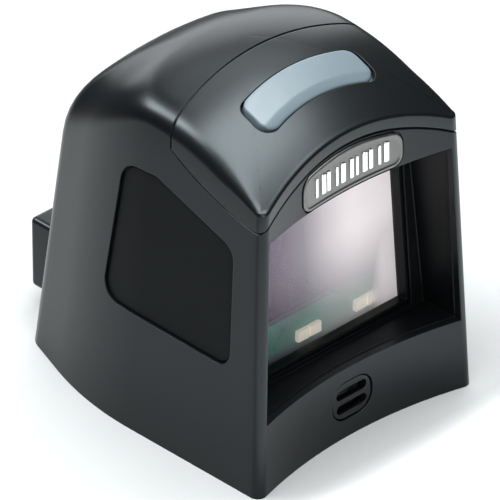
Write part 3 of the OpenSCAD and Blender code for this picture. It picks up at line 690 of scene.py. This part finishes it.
def tunnel():
    """stepped box behind the front opening"""
    wide = (-40, 40)
    liner = common(form(WALL + 0.12, k=3), block(wide, (-20, 1.6), (17.6, 73.6), TILTED),
                   block(wide, (-5, 40), (18.8, 72.3)))
    hollow = common(form(WALL + 1, k=3), block(wide, (-20, 0), (10, 80), TILTED),
                    block(wide, (-5, 40), (SILL_Z, HEAD_Z)))
    window = block((-WINDOW_W - 1.35, WINDOW_W + 1.35), (-1, 3), (SILL_Z + 1.2, HEAD_Z - 0.9), TILTED)
    cut(liner, hollow, front_opening(0.1), window)
    done(liner, "tunnel", "head", M["black"], ("tunnel_liner",))


def grips():
    rim = [(0.3, 1.28), (0.3, 0.95), (0.36, 0.82), (0.5, 0.73), (0.75, 0.70)]
    for s, side in ((1, "left"), (-1, "right")):
        pad = hull_plate(GRIP, rim, 1.28, lambda u, v, d: (s*side_x(u, v, d), u, v))
        done(pad, "grip_" + side, "head", M["grip"], ("side_grip_" + side,))


def badge_plate():
    """plate with a raised rim"""
    rim = [(0, 0.68), (0, -0.15), (0.08, -0.28), (0.22, -0.35), (0.75, -0.35), (0.95, -0.22),
           (1.15, -0.18)]
    badge = hull_plate(BADGE, rim, 0.68, on_front)
    done(badge, "badge", "head", M["badge"], ("badge_plate",))


def badge_stripes():
    """plain upright bars of mixed width"""
    stripes = None
    for k, x in enumerate((-12, -9.4, -7.6, -4.6, -2.4, 0.6, 2.4, 5, 7, 9.8, 12)):
        half_width = 0.45 + 0.35*((k*5) % 3)/2
        cs = [(x + a*(half_width - 0.2), z, 0.2)
              for a in (-1, 1) for z in (BADGE_Z0 + 2.8, BADGE_Z1 - 2.0)]
        bar = hull_plate(cs, [(0, -0.1), (0, -0.40), (0.1, -0.50)], -0.1, on_front, n=32, rings=2)
        stripes = bar if stripes is None else join(stripes, bar)
    done(stripes, "badge_stripes", "head", M["bright"], ("badge_bars",))


def grille():
    """insert with two slots"""
    insert = hull_plate(GRILLE, [(0.3, 1.95), (0.3, 0.5), (0.36, 0.3), (0.55, 0.2)], 1.95, on_front)
    for z in (-2.05, 2.05):
        cut(insert, prism(circles([(x, GRILLE_Z + z, 1.35) for x in (-3.9, 3.9)]), -4, 14, FRONT))
    done(insert, "grille", "head", M["shell"], ("beeper_grille",))


def press_bar():
    """rounded pad that follows the roof, on a flat flange"""
    foot_w, bevel, bevel_w = -5.0, 0.85, 2.9
    foot_depth = 99                   # marks the pad's flat foot among the depths

    def on_roof(u, v, d):
        w = 0.0
        for _ in range(8):
            p = AT_BAR @ Vector((u, v, w))
            w += (roof(p.x, p.y) - d - p.z)*math.cos(BAR_LEAN)
        return AT_BAR @ Vector((u, v, w))

    def place(u, v, d):
        if d == foot_depth:
            return AT_BAR @ Vector((u, v, foot_w))
        # a bevel falls away along the front edge
        k = max(0.0, 1 - (math.hypot(u, v + BAR_R) - BAR_R + BAR_W/2)/bevel_w)
        return on_roof(u, v, d + bevel*k**1.2)

    rim = [(0, foot_depth), (0, 0.4), (0, 0.0), (0.06, -0.30), (0.22, -0.50), (0.5, -0.60)]
    pad = skin_plate(lambda g: bar_outline(-g), np.zeros(2), rim, foot_depth, place, n=240, rings=32)
    bar = join(pad, prism(bar_outline(1.6, 0.4), -5.4, -4.75, AT_BAR))
    cut(bar, prism(bar_outline(-1.3), -9, -2.6, AT_BAR))
    done(bar, "press_pad", "button", M["bar"], ("press_bar",))


def socket_cover():
    """box on the rear wall with a neck that goes through it"""
    box = cut(rounded_box((-BOX_W, BOX_W), (84, BOX_Y), (5.5, 26.1), 1.5), form(-0.05, k=3))
    neck = common(block((-10.75, 10.75), (86, 100), (5.95, 23.85)), form(-0.3, k=3))
    cut(neck, form(WALL + 1.4, k=3))
    cut(join(box, neck), block((-8.6, 8.6), (86, 103.5), (4, 22.4)))
    done(box, "socket_cover", "head", M["shell"], ("socket_box",))


# ---- CAD nodes that stay ----------------------------------------------------------------------
KEPT = {
    "black": ("base_plate", "window_frame", "bar_bracket", "chassis", "lamp_spacers"),
    "rubber": ("window_gasket", "beeper_gasket"),
    "pane": ("window",),
    "chip": ("beeper", "switch_plunger", "tact_switch", "lens_holder", "lens_barrel", "board_chips",
             "socket_jack"),
    "white": ("bar_carrier",),
    "board": ("bar_board", "sensor_board", "lamp_board", "main_board"),
    "lamp": ("bar_lights", "lamps"),
    "steel": ("camera_bracket", "shield_can", "base_screws", "chassis_screws", "hood_screws", "board_screws",
              "bracket_screws"),
    "lens": ("lens",),
    "ivory": ("board_sockets",),
    "flex": ("sensor_flex", "bar_flex", "socket_flex"),
    "brass": ("jack_contacts", "stand_insert"),
    "label": ("rating_label",),
}


def dress_kept_nodes():
    for key, names in KEPT.items():
        for name in names:
            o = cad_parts[name]
            o.data.materials.clear()
            o.data.materials.append(M[key])


# ---- floor, light, background -----------------------------------------------------------------
def paper():
    """mottled paper with a painted pool of light: greyer behind the object and paler in front of it"""
    m, tree, b = material("floor_paper")
    mottle = add(tree, "ShaderNodeTexNoise", Scale=30.0)
    shade = colours(tree, mottle.outputs["Fac"], (0.96, 0.96, 0.96), (1, 1, 1))
    place = add(tree, "ShaderNodeTexCoord")
    split = add(tree, "ShaderNodeSeparateXYZ")
    link(place.outputs["Object"], split.inputs["Vector"])
    paper_painted_light = add(tree, "ShaderNodeVectorMath", operation="SCALE")
    link(shade.outputs["Color"], paper_painted_light.inputs["Vector"])
    # painted light: the paper is paler in front of the object than behind it, a pool of light painted on the
    # floor
    link(eased(tree, split.outputs["Y"], (-0.050, -0.068), (0.36, 0.86)), paper_painted_light.inputs["Scale"])
    link(paper_painted_light.outputs["Vector"], b.inputs["Base Color"])
    b.inputs["Roughness"].default_value = 0.9
    return m


def lay_floor():
    radius, n = 0.24, 128
    turns = [2*math.pi*j/n for j in range(n)]
    floor = solid([(radius*math.cos(t), radius*math.sin(t), 0) for t in turns], [tuple(range(n))], "floor")
    floor.data.materials.append(paper())


def room():
    """a dim room that only looks white where the camera sees past the floor"""
    world = bpy.data.worlds.new("studio")
    bpy.context.scene.world = world
    world.use_nodes = True
    background = world.node_tree.nodes["Background"]
    background.inputs["Color"].default_value = (0.97, 0.985, 1.0, 1)
    seen = add(world.node_tree, "ShaderNodeLightPath")
    level = mapped(world.node_tree, seen.outputs["Is Camera Ray"], (0, 1), (0.07, 1.0))
    link(level, background.inputs["Strength"])


def softbox(name, way, away, size, strength, across=None):
    """soft panel that faces the object from a direction; its first size runs across, or level"""
    z = Vector(way).normalized()
    x = Vector(across or (-z.y, z.x, 0))
    x = (x - z*x.dot(z)).normalized()
    lamp = bpy.data.lights.new(name, "AREA")
    lamp.shape, lamp.size, lamp.size_y = "RECTANGLE", size[0], size[1]
    lamp.energy = strength*4*size[0]*size[1]
    lamp.color = (0.95, 0.985, 1.0)
    o = bpy.data.objects.new(name, lamp)
    o.matrix_world = axes(x, z.cross(x), z, z*away + Vector((0, 0, 0.06)))
    bpy.context.scene.collection.objects.link(o)


place_camera()
housing()
hood_shell()
tunnel()
grips()
badge_plate()
badge_stripes()
grille()
press_bar()
socket_cover()
dress_kept_nodes()
lay_floor()
room()
softbox("overhead", (-0.01, -0.06, 1.0), 0.8, (0.86, 0.48), 10.5, (1, 0, 0))
softbox("rear_fill", (0.42, 0.42, 0.80), 0.9, (0.6, 0.4), 2.0)
softbox("shoulder_strip", (-0.41, 0.57, 0.71), 1.1, (0.32, 0.8), 16.0, (0.77, 0, 0.6))
softbox("rear_panel", (0.56, 0.80, 0.27), 1.6, (1.4, 0.9), 2.1)
softbox("front_panel", (-0.42, -0.86, 0.26), 1.0, (0.6, 0.6), 5.0)
bpy.context.scene.view_settings.view_transform = "Standard"
